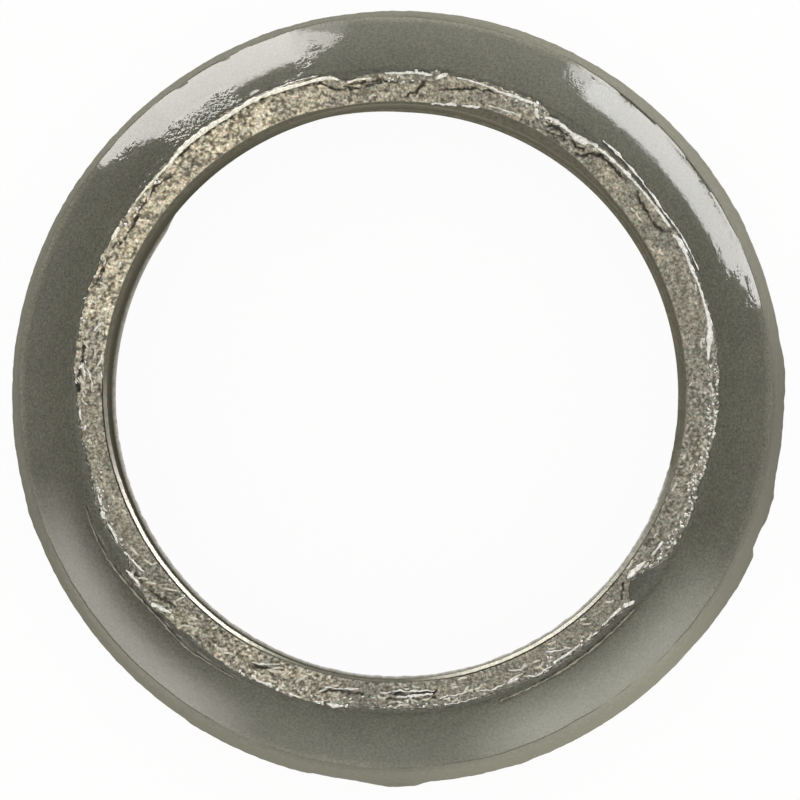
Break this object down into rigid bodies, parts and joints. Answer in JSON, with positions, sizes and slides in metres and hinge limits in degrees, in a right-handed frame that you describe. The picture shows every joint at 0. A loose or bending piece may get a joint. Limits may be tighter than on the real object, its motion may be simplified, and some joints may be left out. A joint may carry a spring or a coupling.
{
  "type": "exhaust gasket",
  "caption": "Pressed wire-mesh and graphite ring gasket with a spherical seat, for sealing a slip joint in an exhaust pipe.",
  "frame": {"origin": "centre of the wide base, on the bore axis", "axes": "+Z along the bore axis from the wide base to the narrow rough face; +X and +Y are right and up in the picture"},
  "size_m": [0.0702, 0.0704, 0.015],
  "materials": {
    "pressed_mesh": "satin, burnished on the seat and rough on the narrow face"
  },
  "bodies": {
    "root": {"gasket_ring": "pressed_mesh"}
  },
  "joints": []
}
